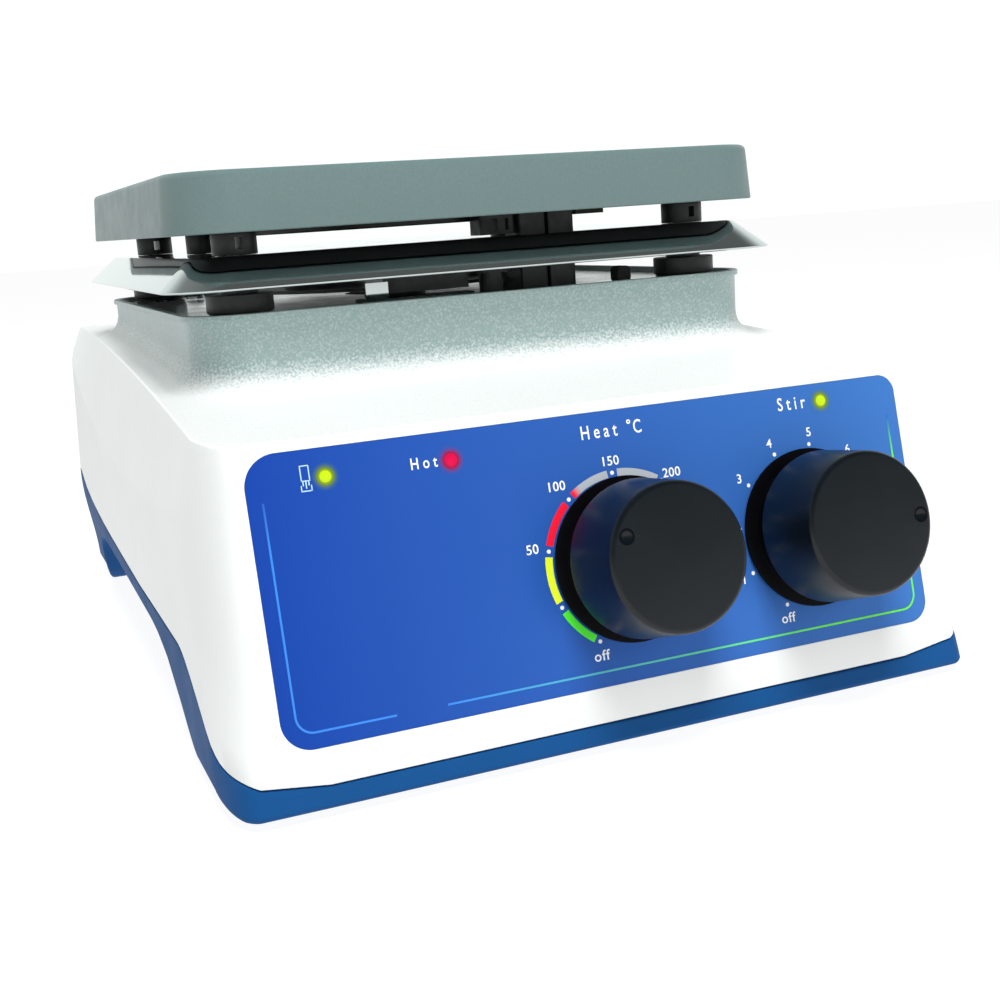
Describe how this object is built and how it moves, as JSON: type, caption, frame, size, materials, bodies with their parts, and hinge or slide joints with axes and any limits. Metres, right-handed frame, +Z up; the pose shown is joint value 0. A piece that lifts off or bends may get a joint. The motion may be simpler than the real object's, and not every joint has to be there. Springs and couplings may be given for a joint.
{
  "type": "hotplate magnetic stirrer",
  "caption": "Laboratory hotplate magnetic stirrer: square heated plate on standoffs over a white and blue case with a sloped panel, heat and stir knobs and a motor-driven magnet rotor.",
  "frame": {"origin": "on the bench plane, at the middle of the whole object's box seen from above", "axes": "+Z up, -Y out of the control panel at the front, +X to the right of somebody facing the panel"},
  "size_m": [0.1724, 0.2634, 0.1224],
  "materials": {
    "cast_plate": "fine-grained heat resistant grey coating on a cast plate, satin",
    "mica": "layered mica heater sheet",
    "mineral_wool": "pressed mineral wool",
    "black_metal": "black baked coating",
    "brass": "bare",
    "bright_steel": "bright annealed stainless sheet, near mirror",
    "black_plastic": "heat resistant moulding, fine texture",
    "white_shell": "white powder coat, satin",
    "blue_case": "moulded, satin",
    "floor_grey": "light grey, glossy",
    "black_rubber": "matt",
    "steel": "zinc plated",
    "magnet": "sintered, dark nickel",
    "motor_steel": "drawn steel can",
    "aluminium": "bare",
    "blue_panel": "printed panel sheet, satin, white and coloured dial marks",
    "lens_green": "clear yellow-green lens, lit",
    "lens_red": "clear red lens, lit",
    "knob_black": "satin moulded",
    "circuit_board": "solder mask"
  },
  "bodies": {
    "case": {"top_plate": "cast_plate", "heater_element": "mica", "insulation_pad": "mineral_wool", "under_plate": "black_metal", "earth_tag": "brass", "deflector_tray": "bright_steel", "sensor_sleeve": "black_plastic", "wire_duct_left": "black_plastic", "wire_duct_right": "black_plastic", "plate_connector": "black_plastic", "upper_housing": "white_shell", "base_tray": "blue_case", "floor_plate": "floor_grey", "strip_bracket": "bright_steel", "terminal_strip": "black_plastic", "thermal_cutout": "black_plastic", "cable_grommet": "black_rubber", "floor_screw": "steel", "motor": "motor_steel", "motor_bracket": "aluminium", "fascia_panel": "blue_panel", "probe_led": "lens_green", "hot_led": "lens_red", "stir_led": "lens_green", "heat_potentiometer": "aluminium", "stir_potentiometer": "aluminium", "control_board": "circuit_board", "power_board": "circuit_board", "mains_inlet": "black_plastic", "probe_socket": "black_plastic", "rod_boss": "aluminium", "pillar_front_left": "black_plastic", "spacer_front_left": "black_plastic", "support_screw_front_left": "steel", "foot_front_left": "black_rubber", "pillar_front_right": "black_plastic", "spacer_front_right": "black_plastic", "support_screw_front_right": "steel", "foot_front_right": "black_rubber", "pillar_rear_left": "black_plastic", "spacer_rear_left": "black_plastic", "support_screw_rear_left": "steel", "foot_rear_left": "black_rubber", "pillar_rear_right": "black_plastic", "spacer_rear_right": "black_plastic", "support_screw_rear_right": "steel", "foot_rear_right": "black_rubber", "terminal_screw_1": "black_metal", "terminal_screw_2": "black_metal", "terminal_screw_3": "black_metal"},
    "heat_dial": {"heat_knob": "knob_black", "heat_knob_skirt": "black_plastic", "heat_shaft": "steel"},
    "stir_dial": {"stir_knob": "knob_black", "stir_knob_skirt": "black_plastic", "stir_shaft": "steel"},
    "rotor": {"rotor_disc": "black_metal", "drive_shaft": "steel", "drive_magnet_left": "magnet", "drive_magnet_right": "magnet"}
  },
  "joints": [
    {"name": "heat_knob_turn", "type": "hinge", "parent": "case", "child": "heat_dial", "pos_m": [0.0025, -0.10754, 0.03777], "axis": [0, -0.9746, 0.2239], "range_deg": [-207, 86]},
    {"name": "stir_knob_turn", "type": "hinge", "parent": "case", "child": "stir_dial", "pos_m": [0.0475, -0.10754, 0.03777], "axis": [0, -0.9746, 0.2239], "range_deg": [-54, 239]},
    {"name": "rotor_spin", "type": "hinge", "parent": "case", "child": "rotor", "pos_m": [0, 0.02056, 0.0915], "axis": [0, 0, 1], "continuous": true}
  ]
}
